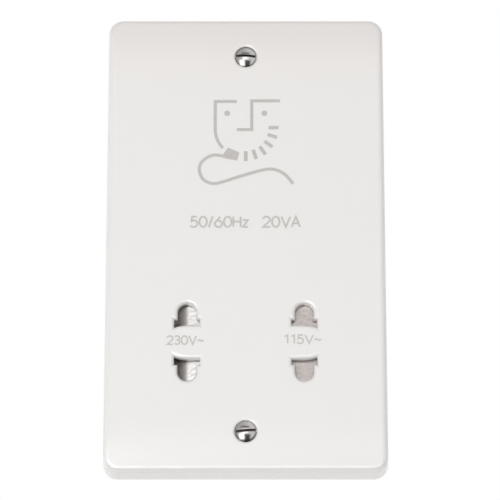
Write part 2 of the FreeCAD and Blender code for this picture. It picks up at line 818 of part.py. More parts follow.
def interlock_rocker():
    """The see-saw plate: a plug's pins push one side back and the other side comes forward."""
    rocker = body("interlock_rocker")
    wing = sketch(rocker, "rocker_wing", "XY_Plane", "outlet_height")
    front = ROCKER_FRONT
    back = "pivot_depth + rocker_tip / 2"
    waist = f"{ROCKER_FRONT} + rocker_waist"
    loop(
        wing,
        [
            ("0 - rocker_half", front),
            ("rocker_half", front),
            ("rocker_half", back),
            ("waist_half", waist),
            ("0 - waist_half", waist),
            ("0 - rocker_half", back),
        ],
    )
    pad(rocker, wing, "rocker_height", Midplane=True)
    reach = number("rocker_height")
    half = number("rocker_half")
    dress(
        rocker,
        "Fillet",
        "rocker_tips",
        "rocker_tip / 3",
        lambda box: close(box.ZLength, reach) and close(abs(box.XMin), half),
    )

    hub = sketch(rocker, "rocker_hub", "XY_Plane", "outlet_height")
    circle(hub, "0", "pivot_depth", "hub_width")
    pad(rocker, hub, f"2 * ({WALL_INNER} - end_gap)", Midplane=True)

    nubs = sketch(rocker, "rocker_nubs", "XY_Plane", "outlet_height")
    for side in (-1, 1):
        circle(nubs, f"{side} * nub_place", f"{NUB_BACK} - nub_width / 2", "nub_width")
    pad(rocker, nubs, "nub_length", Midplane=True)

    buttons = sketch(rocker, "rocker_buttons", "XZ_Plane", f"0 - {ROCKER_FRONT}")
    for side in (-1, 1):
        for way in (-1, 1):
            spot = (f"{side} * outlet_pitch / 2", f"outlet_height + {way} * button_place")
            circle(buttons, *spot, "button_width")
    pad(rocker, buttons, "button_rise")

    bore = sketch(rocker, "rocker_bore", "XY_Plane")
    circle(bore, "0", "pivot_depth", "pin_width + 2 * pin_gap")
    through(rocker, bore)
    return rocker


def stud(name, x, y, z, height):
    """A short round contact that stands on a strip and points to the rear."""
    item = doc.addObject("Part::Cylinder", name)
    item.Placement = Placement(Vector(), Rotation(Vector(1, 0, 0), -90))
    item.setExpression("Radius", s("switch_stud / 2"))
    item.setExpression("Height", s(height))
    for axis, text in (("x", x), ("y", y), ("z", z)):
        item.setExpression(f"Placement.Base.{axis}", s(text))
    return item


def switch_blades():
    """Two spring blades that the rocker presses, each with its contact stud."""
    root = "(outlet_height + switch_root)"
    tip = "(outlet_height - switch_tip)"
    blades = []
    for name, side in (("switch_blade_230v", -1), ("switch_blade_115v", 1)):
        across = f"({side} * nub_place)"
        points = [(BLADE_FRONT, tip), (BLADE_FRONT, root), ("carrier_back + tail_reach", root)]
        blade = strip(f"{name}_strip", points, "switch_thick", "switch_width", across)
        end = stud(f"{name}_stud", across, f"{BLADE_BACK} - end_play", f"{tip} + stud_inset", "stud_rise")
        blades.append(fused(name, [blade, end]))
    return blades


def switch_contact():
    """The fixed strip on the carrier's floor that either blade closes on."""
    item = body("switch_contact")
    height = "(outlet_height - switch_tip + stud_inset)"
    base = sketch(item, "strip_outline", "XZ_Plane", f"end_play - {FLOOR_TOP}")
    half = "(nub_place + strip_reach)"
    rectangle(base, f"0 - {half}", half, f"{height} - strip_width / 2", f"{height} + strip_width / 2")
    pad(item, base, "leaf_thick")
    studs = sketch(item, "strip_studs", "XZ_Plane", f"leaf_thick + end_play - {FLOOR_TOP}")
    for side in (-1, 1):
        circle(studs, f"{side} * nub_place", height, "switch_stud")
    pad(item, studs, "stud_rise")
    tail = sketch(item, "strip_tail_outline", "XZ_Plane", f"end_play - {FLOOR_TOP}")
    low = f"{height} - leaf_thick / 2"
    rectangle(tail, "0 - strip_tail / 2", "strip_tail / 2", low, f"{height} + leaf_thick / 2")
    pad(item, tail, "carrier_floor + tail_reach", Reversed=True)
    return item


def transformer_core():
    """The laminated three-limb core with its two windows."""
    core = body("transformer_core")
    outline = sketch(core, "core_outline", "XZ_Plane", f"0 - {CORE_MIDDLE}")
    low = "core_height - 2.5 * limb"
    high = "core_height + 2.5 * limb"
    rectangle(outline, "0 - 3 * limb", "3 * limb", low, high)
    for side in (-1, 1):
        rectangle(
            outline,
            f"{side * 1.5} * limb - limb / 2",
            f"{side * 1.5} * limb + limb / 2",
            "core_height - 1.5 * limb",
            "core_height + 1.5 * limb",
        )
    pad(core, outline, "stack", Midplane=True)
    return core


def former_ring(item, outer_x, outer_y, inner_x, inner_y):
    """A square ring about the core's middle limb."""
    for half_x, half_y in ((outer_x, outer_y), (inner_x, inner_y)):
        low = f"{CORE_MIDDLE} - {half_y}"
        rectangle(item, f"0 - {half_x}", half_x, low, f"{CORE_MIDDLE} + {half_y}")


def bobbin():
    """The coil former: a square tube with three flanges that keep the two coils apart."""
    former = body("bobbin")
    # The core's middle limb is twice as wide as the others
    bore = ("(limb + core_gap)", "(stack / 2 + core_gap)")
    tube = sketch(former, "former_tube", "XY_Plane", "core_height")
    former_ring(tube, FORMER_HALF_X, FORMER_HALF_Y, *bore)
    pad(former, tube, WINDOW, Midplane=True)
    flange = sketch(former, "former_flange", "XY_Plane", f"core_height - {WINDOW} / 2")
    former_ring(flange, FLANGE_HALF_X, FLANGE_HALF_Y, *bore)
    first = pad(former, flange, "former_wall")
    rows = former.newObject("PartDesign::LinearPattern", "former_flanges")
    rows.Originals = [first]
    rows.Direction = (flange, ["N_Axis"])
    rows.Occurrences = 3
    rows.setExpression("Length", s(f"{WINDOW} - former_wall"))
    former.Tip = rows
    doc.recompute()
    return former


def winding(name, middle):
    """One coil in a bay of the former."""
    coil = body(name)
    outline = sketch(coil, f"{name}_outline", "XY_Plane", middle)
    outer = (f"({FORMER_HALF_X} + coil_depth)", f"({FORMER_HALF_Y} + coil_depth)")
    inner = (f"({FORMER_HALF_X} + coil_gap)", f"({FORMER_HALF_Y} + coil_gap)")
    former_ring(outline, *outer, *inner)
    height = f"({BAY} - 2 * coil_gap)"
    pad(coil, outline, height, Midplane=True)
    reach = number(height)
    edge = number(outer[0])
    dress(
        coil,
        "Fillet",
        f"{name}_corners",
        "coil_corner",
        lambda box: close(box.ZLength, reach) and close(abs(box.XMin), edge),
    )
    return coil


def thermal_cutout():
    """The flat thermal cut-out on the front of the primary coil."""
    item = body("thermal_cutout")
    outline = sketch(item, "cutout_outline", "XZ_Plane", f"coil_gap - {COIL_FRONT}")
    low = f"{PRIMARY_MIDDLE} - cutout_height / 2"
    high = f"{PRIMARY_MIDDLE} + cutout_height / 2"
    rectangle(outline, "0 - cutout_width / 2", "cutout_width / 2", low, high)
    pad(item, outline, "cutout_thick")
    front = lies_at_depth(f"{COIL_FRONT} - coil_gap - cutout_thick")
    dress(item, "Fillet", "cutout_edges", "cutout_thick / 4", front)
    return item


def core_straps():
    """Two steel straps bent over the front of the core, with feet on the housing's posts."""
    straps = []
    front = f"({CORE_FRONT} - end_play)"
    for name, way in (("core_strap_lower", -1), ("core_strap_upper", 1)):
        height = f"(core_height + {way} * 2 * limb)"
        end = f"({STRAP_SIDE} + strap_foot)"
        points = [
            (f"0 - {end}", CORE_BACK),
            (f"0 - {STRAP_SIDE}", CORE_BACK),
            (f"0 - {STRAP_SIDE}", front),
            (STRAP_SIDE, front),
            (STRAP_SIDE, CORE_BACK),
            (end, CORE_BACK),
        ]
        band = strip(f"{name}_band", points, "strap_thick", "strap_width", height, level=True)
        holes = []
        for side in (-1, 1):
            hole = doc.addObject("Part::Cylinder", f"{name}_hole_{side + 1}")
            hole.Placement = Placement(Vector(), Rotation(Vector(1, 0, 0), 90))
            hole.setExpression("Radius", s("small_hole / 2"))
            hole.setExpression("Height", s("4 * strap_thick"))
            hole.setExpression("Placement.Base.x", s(f"{side} * {STRAP_SCREW}"))
            hole.setExpression("Placement.Base.y", s(f"{CORE_BACK} + strap_thick"))
            hole.setExpression("Placement.Base.z", s(height))
            holes.append(hole)
        strap = doc.addObject("Part::Cut", name)
        strap.Base = band
        strap.Tool = fused(f"{name}_holes", holes)
        straps.append(strap)
    return group("core_straps", straps)


def rear_housing():
    """The stepped moulding: deep over the transformer, shallow behind the outlets and terminals."""
    shell = body("rear_housing")
    side = sketch(shell, "housing_side", "YZ_Plane")
    front = CARRIER_FRONT
    loop(
        side,
        [
            (front, "0 - housing_half"),
            ("step_depth", "0 - housing_half"),
            ("step_depth", "step_height"),
            ("housing_depth", "step_height"),
            ("housing_depth", "housing_half"),
            (front, "housing_half"),
        ],
    )
    pad(shell, side, "housing_width", Midplane=True)
    rim = number(front)
    dress(
        shell,
        "Fillet",
        "housing_edges",
        "housing_edge",
        lambda box: not close(box.YMax, rim),
    )
    inside = sketch(shell, "housing_inside", "YZ_Plane")
    foot = "housing_wall - housing_half"
    loop(
        inside,
        [
            (front, foot),
            ("step_depth - housing_wall", foot),
            ("step_depth - housing_wall", "step_height + housing_wall"),
            ("housing_depth - housing_wall", "step_height + housing_wall"),
            ("housing_depth - housing_wall", "housing_half - housing_wall"),
            (front, "housing_half - housing_wall"),
        ],
    )
    pocket(shell, inside, "housing_width - 2 * housing_wall", Midplane=True)

    lugs = sketch(shell, "housing_lugs", "XZ_Plane", "lug_setback")
    lug_holes = sketch(shell, "lug_holes", "XZ_Plane", "lug_setback")
    for hand in (-1, 1):
        middle = f"{hand} * lug_place"
        low = f"{middle} - lug_width / 2"
        high = f"{middle} + lug_width / 2"
        for way in (-1, 1):
            root = f"{way} * (housing_half - housing_wall / 2)"
            centre = f"{way} * {LUG_HEIGHT}"
            corners = [(low, root), (high, root), (high, centre), (low, centre)]
            loop(lugs, corners, {2: (middle, centre, "Y", way < 0)})
            circle(lug_holes, middle, centre, "small_hole")
    pad(shell, lugs, "lug_thick")
    pocket(shell, lug_holes, "lug_thick", Reversed=True)

    posts = sketch(shell, "core_posts", "XZ_Plane", "0 - housing_depth + housing_wall / 2")
    pilots = sketch(shell, "post_pilots", "XZ_Plane", f"0 - end_play - {CORE_BACK}")
    for hand in (-1, 1):
        for way in (-1, 1):
            spot = (f"{hand} * {STRAP_SCREW}", f"core_height + {way} * 2 * limb")
            circle(posts, *spot, "post_width")
            circle(pilots, *spot, "small_pilot")
    pad(shell, posts, f"housing_depth - housing_wall / 2 - {CORE_BACK} - end_play")
    pocket(shell, pilots, "strap_bite + pilot_gap")

    vent = sketch(shell, "vent_slot", "XZ_Plane", "0 - housing_depth")
    low = "core_height - vent_pitch * (vent_count - 1) / 2 - vent_width / 2"
    rectangle(vent, "0 - vent_length / 2", "vent_length / 2", low, f"{low} + vent_width")
    first = pocket(shell, vent, "housing_wall", Reversed=True)
    vents = shell.newObject("PartDesign::LinearPattern", "vent_slots")
    vents.Originals = [first]
    vents.Direction = (vent, ["V_Axis"])
    vents.setExpression("Length", s("vent_pitch * (vent_count - 1)"))
    vents.setExpression("Occurrences", s("vent_count"))
    shell.Tip = vents
    doc.recompute()

    block = sketch(shell, "terminal_block", "XZ_Plane", "0 - step_depth + housing_wall / 2")
    half = "(terminal_pitch + terminal_width / 2 + terminal_gap + block_wall)"
    tall = "(terminal_height / 2 + terminal_gap + block_wall)"
    rectangle(block, f"0 - {half}", half, f"terminal_place - {tall}", f"terminal_place + {tall}")
    pad(shell, block, f"{BLOCK_BACK} - step_depth + housing_wall / 2", Reversed=True)
    wells = sketch(shell, "terminal_wells", "XZ_Plane", f"0 - {BLOCK_BACK}")
    lead_holes = sketch(shell, "lead_holes", "XZ_Plane", f"0 - {BLOCK_BACK}")
    mouths = sketch(shell, "wire_mouths", "XY_Plane", f"terminal_place - {tall}")
    for column in (-1, 0, 1):
        middle = f"{column} * terminal_pitch"
        wide = "(terminal_width / 2 + terminal_gap)"
        high = "(terminal_height / 2 + terminal_gap)"
        rectangle(
            wells,
            f"{middle} - {wide}",
            f"{middle} + {wide}",
            f"terminal_place - {high}",
            f"terminal_place + {high}",
        )
        circle(lead_holes, middle, "terminal_place", "lead_hole")
        circle(mouths, middle, BORE_DEPTH, "wire_mouth")
    pocket(shell, wells, "terminal_depth", Reversed=True)
    pocket(shell, lead_holes, "terminal_depth + block_floor + 2 * housing_wall", Reversed=True)
    pocket(shell, mouths, "block_wall + terminal_gap", Reversed=True)
    return shell


def terminal(name, column):
    """A brass terminal with a bore for the supply wire from below and a clamp screw's hole."""
    item = body(name)
    outline = sketch(item, f"{name}_outline", "XZ_Plane", f"end_play - {BLOCK_BACK}")
    middle = f"{column} * terminal_pitch"
    rectangle(
        outline,
        f"{middle} - terminal_width / 2",
        f"{middle} + terminal_width / 2",
        "terminal_place - terminal_height / 2",
        "terminal_place + terminal_height / 2",
    )
    pad(item, outline, "terminal_depth - 2 * end_play")
    reach = number("terminal_height")
    dress(item, "Fillet", f"{name}_edges", "terminal_edge", lambda box: close(box.ZLength, reach))
    bore = sketch(item, f"{name}_bore", "XY_Plane")
    circle(bore, middle, BORE_DEPTH, "terminal_bore")
    through(item, bore)
    tapping = sketch(item, f"{name}_tapping", "XZ_Plane", f"0 - {BLOCK_BACK}")
    circle(tapping, middle, "terminal_place", "terminal_screw + 2 * pin_gap")
    pocket(item, tapping, "terminal_depth - bore_inset", Reversed=True)
    return item


def terminal_screws():
    """Three slotted clamp screws with plain round heads that face the rear."""
    members = []
    seat = f"{BLOCK_BACK} + end_play"
    bite = "(terminal_depth - bore_inset - terminal_bore / 2)"
    for name, column in (("live", -1), ("earth", 0), ("neutral", 1)):
        where = (f"{column} * terminal_pitch", seat, "terminal_place")
        members.append(small_screw(f"terminal_screw_{name}", *where, bite, 180))
    return group("terminal_screws", members)


def wire_piece(kind, name, spot):
    """A round piece of a lead with its base or centre at a spot."""
    item = doc.addObject("Part::" + kind, name)
    item.setExpression("Radius", s("lead_width / 2"))
    for axis, text in zip("xyz", spot):
        item.setExpression(f"Placement.Base.{axis}", s(text))
    return item


def lead(name, stops):
    """An insulated lead in straight runs from stop to stop, each along one axis, with round elbows."""
    members = [wire_piece("Sphere", f"{name}_elbow_{order}", stop) for order, stop in enumerate(stops[1:-1])]
    for order in range(len(stops) - 1):
        start = stops[order]
        stop = stops[order + 1]
        axis = [index for index in range(3) if start[index] != stop[index]][0]
        length = f"({stop[axis]}) - ({start[axis]})"
        way = [0, 0, 0]
        way[axis] = math.copysign(1, number(length))
        run = wire_piece("Cylinder", f"{name}_run_{order}", start)
        run.Placement = Placement(run.Placement.Base, Rotation(Vector(0, 0, 1), Vector(*way)))
        run.setExpression("Height", s(f"abs({length})"))
        members.append(run)
    return fused(name, members)


def leads():
    """The leads between the terminals, the switch, the coils and the contacts."""
    terminal_front = f"{BLOCK_BACK} - terminal_depth"
    strip_height = "outlet_height - switch_tip + stud_inset"
    coil_end = f"{COIL_FRONT} - end_play"
    live = "0 - terminal_pitch"
    neutral = "terminal_pitch"
    turn = "terminal_place + lead_turn"
    link = "outlet_height + switch_root + end_play + lead_width / 2"
    cutout_depth = f"{COIL_FRONT} - coil_gap - cutout_thick / 2"
    cutout_low = f"{PRIMARY_MIDDLE} - cutout_height / 2 - end_play"
    cutout_side = "0 - cutout_width / 2 - end_play"
    cutout_far = f"{cutout_side} - cutout_lead"
    contact_top = "outlet_height + leg_place + leaf_thick + end_play"
    bar_height = "outlet_height - leg_place - leaf_thick / 2"
    members = [
        lead("lead_live", [
            (live, terminal_front, "terminal_place"),
            (live, TAIL_DEPTH, "terminal_place"),
            (live, TAIL_DEPTH, strip_height),
            ("0 - strip_tail / 2 - end_play", TAIL_DEPTH, strip_height),
        ]),
        lead("lead_neutral", [
            (neutral, terminal_front, "terminal_place"),
            (neutral, LEAD_DEPTH, "terminal_place"),
            (neutral, LEAD_DEPTH, turn),
            ("lead_inner", LEAD_DEPTH, turn),
            ("lead_inner", LEAD_DEPTH, LEAD_LEVEL),
            ("lead_inner", LEAD_FRONT, LEAD_LEVEL),
            ("lead_inner", LEAD_FRONT, PRIMARY_MIDDLE),
            ("lead_inner", coil_end, PRIMARY_MIDDLE),
        ]),
        lead("lead_earth", [
            ("0", terminal_front, "terminal_place"),
            ("0", LEAD_DEPTH, "terminal_place"),
            ("0", LEAD_DEPTH, "core_height - 2.5 * limb - end_play"),
        ]),
        lead("lead_cutout", [
            (cutout_side, cutout_depth, PRIMARY_MIDDLE),
            (cutout_far, cutout_depth, PRIMARY_MIDDLE),
            (cutout_far, coil_end, PRIMARY_MIDDLE),
        ]),
        lead("lead_common", [
            ("0 - lead_inner", "carrier_back + tail_reach + end_play", bar_height),
            ("0 - lead_inner", LEAD_DEPTH, bar_height),
            ("0 - lead_inner", LEAD_DEPTH, LEAD_LEVEL),
            ("0 - lead_inner", LEAD_FRONT, LEAD_LEVEL),
            ("0 - lead_inner", LEAD_FRONT, SECONDARY_MIDDLE),
            ("0 - lead_inner", coil_end, SECONDARY_MIDDLE),
        ]),
    ]
    for name, side in (("lead_230v", -1), ("lead_115v", 1)):
        contact = f"{side} * outlet_pitch / 2"
        coil = f"{side} * lead_outer"
        members.append(lead(name, [
            (contact, TAIL_DEPTH, contact_top),
            (contact, TAIL_DEPTH, LEAD_LEVEL),
            (contact, LEAD_FRONT, LEAD_LEVEL),
            (coil, LEAD_FRONT, LEAD_LEVEL),
            (coil, LEAD_FRONT, SECONDARY_MIDDLE),
            (coil, coil_end, SECONDARY_MIDDLE),
        ]))
    riser = lead("switch_riser", [
        ("0", TAIL_DEPTH, link),
        ("0", TAIL_DEPTH, LEAD_LEVEL),
        ("0", cutout_depth, LEAD_LEVEL),
        ("0", cutout_depth, cutout_low),
    ])
    bridge = lead("switch_bridge", [
        ("0 - nub_place", TAIL_DEPTH, link),
        ("0", TAIL_DEPTH, link),
        ("nub_place", TAIL_DEPTH, link),
    ])
    members.append(fused("lead_switched", [riser, bridge]))
    return members


PARTS = [
    front_plate(),
    fixing_screws(),
    *contacts(),
    contact_carrier(),
    carrier_screws(),
    interlock_rocker(),
    rocker_pin(),
    *switch_blades(),
    switch_contact(),
    transformer_core(),
    bobbin(),
    winding("primary_winding", PRIMARY_MIDDLE),
    winding("secondary_winding", SECONDARY_MIDDLE),
    thermal_cutout(),
    core_straps(),
    strap_screws(),
    rear_housing(),
    housing_screws(),
    terminal("terminal_live", -1),
    terminal("terminal_earth", 0),
    terminal("terminal_neutral", 1),
    terminal_screws(),
    *leads(),
]
doc.recompute()

for item in doc.Objects:
    if "Invalid" in item.State or "Error" in item.State:
        raise RuntimeError(f"{item.Label} did not build: {item.State}")
for item in PARTS:
    if item.Shape.isNull() or not item.Shape.isValid():
        raise RuntimeError(f"{item.Label} has no valid shape")

os.makedirs("parts", exist_ok=True)
for item in PARTS:
    item.Shape.exportStep(f"parts/{item.Label}.step")
    print(item.Label, len(item.Shape.Solids), round(item.Shape.Volume, 1))
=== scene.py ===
import json
import math

import bmesh
import bpy
from mathutils import Euler, Matrix, Vector


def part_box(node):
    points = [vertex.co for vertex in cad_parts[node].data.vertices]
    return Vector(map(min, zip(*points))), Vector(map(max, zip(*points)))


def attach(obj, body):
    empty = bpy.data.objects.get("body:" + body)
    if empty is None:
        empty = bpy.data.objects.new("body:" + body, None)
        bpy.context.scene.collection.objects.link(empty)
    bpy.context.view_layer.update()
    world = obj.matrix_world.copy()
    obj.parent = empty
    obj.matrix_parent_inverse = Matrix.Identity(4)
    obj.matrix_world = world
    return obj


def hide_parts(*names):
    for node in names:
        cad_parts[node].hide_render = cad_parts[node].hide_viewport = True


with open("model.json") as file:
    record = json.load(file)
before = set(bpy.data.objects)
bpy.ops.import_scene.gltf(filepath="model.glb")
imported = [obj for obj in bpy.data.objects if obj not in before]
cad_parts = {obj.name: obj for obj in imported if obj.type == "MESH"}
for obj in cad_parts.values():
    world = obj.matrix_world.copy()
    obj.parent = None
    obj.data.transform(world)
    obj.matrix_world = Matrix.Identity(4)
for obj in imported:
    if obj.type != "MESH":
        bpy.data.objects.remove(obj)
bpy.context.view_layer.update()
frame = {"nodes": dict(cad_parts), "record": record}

# Looks of the two-voltage shaver socket, in metres.
# X runs to the right, Z up, and the front faces -Y.

MM = 0.001
METRE = 1 / MM
nodes = frame["nodes"]
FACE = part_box("front_plate")[0].y


# Materials


def adder(tree):
    """A function that adds a sum to a node tree and returns its output."""

    def add(operation, first, second=0.0):
        made = tree.nodes.new("ShaderNodeMath")
        made.operation = operation
        for socket, value in zip(made.inputs, (first, second)):
            if isinstance(value, bpy.types.NodeSocket):
                tree.links.new(value, socket)
            else:
                socket.default_value = value
        return made.outputs[0]

    return add


class Finish:
    """A material and the few kinds of nodes that the finishes here are made of.

    Sizes are in millimetres in the part's own frame.
    """

    def __init__(self, name, color, roughness, metallic=0.0):
        self.material = bpy.data.materials.new(name)
        self.material.use_nodes = True
        self.tree = self.material.node_tree
        self.shader = self.tree.nodes["Principled BSDF"]
        self.color = color
        self.shader.inputs["Base Color"].default_value = (*color, 1)
        self.shader.inputs["Roughness"].default_value = roughness
        self.shader.inputs["Metallic"].default_value = metallic
        self.place = self.tree.nodes.new("ShaderNodeTexCoord").outputs["Object"]
        self.add = adder(self.tree)
        self.normal = None

    def node(self, kind, **inputs):
        """A new node; each input is a value or another node's output."""
        made = self.tree.nodes.new(kind)
        for name, value in inputs.items():
            socket = made.inputs[name.replace("_", " ")]
            if isinstance(value, bpy.types.NodeSocket):
                self.tree.links.new(value, socket)
            else:
                socket.default_value = value
        return made

    def spread(self, size, stretch=(1, 1, 1), turn=(0, 0, 0)):
        """Coordinates in which size millimetres are one unit, drawn out by stretch after a turn."""
        angles = [math.radians(angle) for angle in turn]
        turned = self.node("ShaderNodeMapping", Vector=self.place, Rotation=angles)
        scale = [1 / (MM * size * along) for along in stretch]
        return self.node("ShaderNodeMapping", Vector=turned.outputs[0], Scale=scale).outputs[0]

    def noise(self, size, detail=2.0, stretch=(1, 1, 1), turn=(0, 0, 0)):
        """Cloudy noise with spots of about that size."""
        where = self.spread(size, stretch, turn)
        return self.node("ShaderNodeTexNoise", Vector=where, Scale=1.0, Detail=detail).outputs["Fac"]

    def bands(self, size, axis, distortion=0.0):
        """Even bands across an axis, one every size millimetres."""
        made = self.node("ShaderNodeTexWave", Vector=self.spread(size), Scale=math.pi / 10)
        made.inputs["Distortion"].default_value = distortion
        made.bands_direction = axis
        return made.outputs["Fac"]

    def between(self, factor, low, high, start=0.3, stop=0.7):
        """A number that goes from low to high as factor goes from start to stop."""
        values = {"From_Min": start, "From_Max": stop, "To_Min": low, "To_Max": high}
        return self.node("ShaderNodeMapRange", Value=factor, **values).outputs[0]

    def gloss(self, factor, low, high):
        """Lets the roughness follow a pattern."""
        self.tree.links.new(self.between(factor, low, high), self.shader.inputs["Roughness"])

    def tint(self, factor, other, start=0.3, stop=0.7):
        """Mixes the colour so far with another one where the pattern is high."""
        mix = self.node("ShaderNodeMix")
        mix.data_type = "RGBA"
        socket = self.shader.inputs["Base Color"]
        if socket.is_linked:
            self.tree.links.new(socket.links[0].from_socket, mix.inputs[6])
        else:
            mix.inputs[6].default_value = (*self.color, 1)
        mix.inputs[7].default_value = (*other, 1)
        self.tree.links.new(self.between(factor, 0, 1, start, stop), mix.inputs[0])
        self.tree.links.new(mix.outputs[2], socket)

    def relief(self, factor, depth):
        """Adds a bump whose full height is depth millimetres."""
        made = self.node("ShaderNodeBump", Height=factor, Strength=1.0, Distance=depth * MM)
        if self.normal:
            self.tree.links.new(self.normal, made.inputs["Normal"])
        self.normal = made.outputs["Normal"]
        self.tree.links.new(self.normal, self.shader.inputs["Normal"])


def moulding(name, color, other, roughness, grain, depth):
    """A moulded plastic with slow changes of tone and a fine skin."""
    made = Finish(name, color, roughness)
    made.tint(made.noise(9), other)
    made.gloss(made.noise(4, 3), roughness - 0.04, roughness + 0.05)
    made.relief(made.noise(grain, 3), depth)
    return made


def sheet_metal(name, color, other, roughness, turn, depth):
    """Rolled or brushed metal with fine lines in one direction."""
    made = Finish(name, color, roughness, 1.0)
    lines = made.noise(0.12, 4, (14, 14, 1), turn)
    made.tint(made.noise(1.1, 3), other)
    made.gloss(lines, roughness - 0.07, roughness + 0.1)
    made.relief(lines, depth)
    return made


TOP_SHADE_FROM = 45 * MM
TOP_SHADE_AT = 62 * MM
FALL_FROM = 57 * MM
FALL_CURVE = 5.5


def white_urea():
    """Glossy white moulding whose face falls away a little towards its two ends, with painted warm
    shade towards its top.
    """
    made = Finish("white_urea", (0.84, 0.832, 0.82), 0.26)
    made.shader.inputs["IOR"].default_value = 1.6
    made.shader.inputs["Coat Weight"].default_value = 0.8
    made.shader.inputs["Coat Roughness"].default_value = 0.15
    made.tint(made.noise(14), (0.837, 0.829, 0.816))
    made.gloss(made.noise(6, 3), 0.235, 0.25)
    made.relief(made.noise(2.5, 3), 0.0004)
    height = made.node("ShaderNodeSeparateXYZ", Vector=made.place).outputs["Z"]
    # Painted shade: warmer and a little darker towards the top of the face.
    made.tint(height, (0.842, 0.812, 0.8), TOP_SHADE_FROM, TOP_SHADE_AT)
    beyond = made.add("MAXIMUM", made.add("SUBTRACT", made.add("ABSOLUTE", height), FALL_FROM), 0.0)
    made.relief(made.add("MULTIPLY", made.add("POWER", beyond, 2.0), -FALL_CURVE), METRE)
    return made


def bright_plate():
    """Nickel plating, bright and a little worn by the driver."""
    made = Finish("bright_plate", (0.72, 0.7, 0.68), 0.1, 1.0)
    made.tint(made.noise(0.9, 3), (0.64, 0.62, 0.6))
    made.gloss(made.noise(0.5, 4), 0.14, 0.22)
    made.relief(made.noise(0.16, 4, (5, 5, 1), (0, 20, 0)), 0.001)
    return made


OUTLET = Vector((17.8, 0, -32.3)) * MM
TROUGH_START = 0.9 * MM
TROUGH_ROUND = 2.2 * MM
TROUGH_SHADE_WIDTH = 3.8 * MM
LEAF_REACH = 5 * MM
# Curves per metre of the trough and of the flank on its right
TROUGH_CURVE = 105.0
FLANK_CURVE = 45.0
# Slopes of every strip away from the outlet's middle, and of the left ones across and upwards
FALL_SLOPE = 0.08
ACROSS_SLOPE = 0.17
LEAN_SLOPE = 0.085
EASE_SLOPE = 0.015


def trough_relief(made, split, left_pair):
    """Height of the contacts' pressing, and how far left of the trough's middle a point lies.

    The left contacts are hollow troughs, the upper one nearly upright and the lower one falling
    away downwards. The right ones are straight across and fall away from the outlet's middle.
    """
    across = made.add("MINIMUM", made.add("ADD", split["X"], OUTLET.x), LEAF_REACH)
    along = made.add("SUBTRACT", split["Z"], OUTLET.z)
    away = made.add("ABSOLUTE", along)
    fall = made.add("MULTIPLY", away, -FALL_SLOPE)
    left = made.add("MAXIMUM", made.add("SUBTRACT", TROUGH_START, across), 0.0)
    round_part = made.add("MINIMUM", left, TROUGH_ROUND)
    hollow = made.add("SUBTRACT", made.add("MULTIPLY", left, 2.0), round_part)
    hollow = made.add("MULTIPLY", made.add("MULTIPLY", hollow, round_part), TROUGH_CURVE)
    right = made.add("POWER", made.add("MAXIMUM", across, 0.0), 2.0)
    bend = made.add("SUBTRACT", hollow, made.add("MULTIPLY", right, FLANK_CURVE))
    slope = made.add("MULTIPLY", made.add("SUBTRACT", across, LEAF_REACH), ACROSS_SLOPE)
    upward = made.add("MULTIPLY", along, LEAN_SLOPE)
    lean = made.add("ADD", upward, made.add("MULTIPLY", away, EASE_SLOPE))
    lean = made.add("MULTIPLY", lean, left_pair)
    shape = made.add("ADD", made.add("ADD", fall, bend), made.add("ADD", slope, lean))
    return shape, left


def contact_metal():
    """Plated spring strip with fine slanting brush lines, pressed hollow for the round pins, with
    painted shade on the left of each hollow and a painted lighter sheen on the left pair.
    """
    made = Finish("contact_metal", (0.57, 0.525, 0.51), 0.4, 1.0)
    lines = made.noise(0.16, 4, (12, 12, 1), (0, 32, 0))
    made.tint(made.noise(1.4, 3), (0.51, 0.463, 0.447))
    made.tint(lines, (0.38, 0.342, 0.327), 0.5, 0.8)
    made.gloss(lines, 0.34, 0.5)
    made.relief(lines, 0.004)
    made.relief(made.noise(0.9, 4, (1.6, 1.6, 1), (0, 20, 0)), 0.1)
    split = made.node("ShaderNodeSeparateXYZ", Vector=made.place).outputs
    left_pair = made.add("LESS_THAN", split["X"], 0.0)
    shape, left = trough_relief(made, split, left_pair)
    made.relief(shape, METRE)
    # Painted highlight: the left pair is lighter and more neutral than the same strip on the right.
    made.tint(made.add("MULTIPLY", left_pair, 0.8), (0.57, 0.56, 0.55), 0.0, 1.0)
    # Painted shade: darker towards the left side of each trough.
    made.tint(made.add("MULTIPLY", left, 1 / TROUGH_SHADE_WIDTH), (0.2, 0.175, 0.165), 0.1, 0.9)
    made.tint(made.noise(0.6, 4, (1.6, 1.6, 1), (0, 20, 0)), (0.4, 0.365, 0.35), 0.55, 0.75)
    return made


def laminations():
    """Stacked sheet steel edges with varnish and a little rust."""
    made = Finish("core_steel", (0.2, 0.2, 0.22), 0.42, 0.8)
    made.tint(made.bands(0.5, "Y"), (0.09, 0.09, 0.1), 0.1, 0.5)
    made.tint(made.noise(3, 4), (0.26, 0.19, 0.13), 0.62, 0.8)
    made.gloss(made.noise(0.8, 3), 0.32, 0.52)
    made.relief(made.bands(0.5, "Y"), 0.06)
    return made


def wire_turns():
    """Enamelled wire wound in close turns."""
    made = Finish("winding_wire", (0.6, 0.25, 0.1), 0.3, 0.85)
    made.tint(made.noise(2.4, 3), (0.44, 0.15, 0.06))
    made.gloss(made.noise(0.7, 2), 0.24, 0.4)
    made.relief(made.bands(0.4, "Z", 0.3), 0.12)
    made.tint(made.bands(0.4, "Z", 0.3), (0.3, 0.1, 0.04), 0.0, 0.35)
    return made


def turned_brass():
    """Drawn and turned brass."""
    made = Finish("terminal_brass", (0.74, 0.57, 0.29), 0.27, 1.0)
    made.tint(made.noise(1.6, 3), (0.6, 0.43, 0.2))
    made.gloss(made.noise(0.5, 3), 0.2, 0.36)
    made.relief(made.noise(0.14, 4, (10, 1, 10)), 0.002)
    return made


def sleeve(name, color, other):
    """The soft insulation of a lead."""
    return moulding(name, color, other, 0.46, 0.35, 0.006)


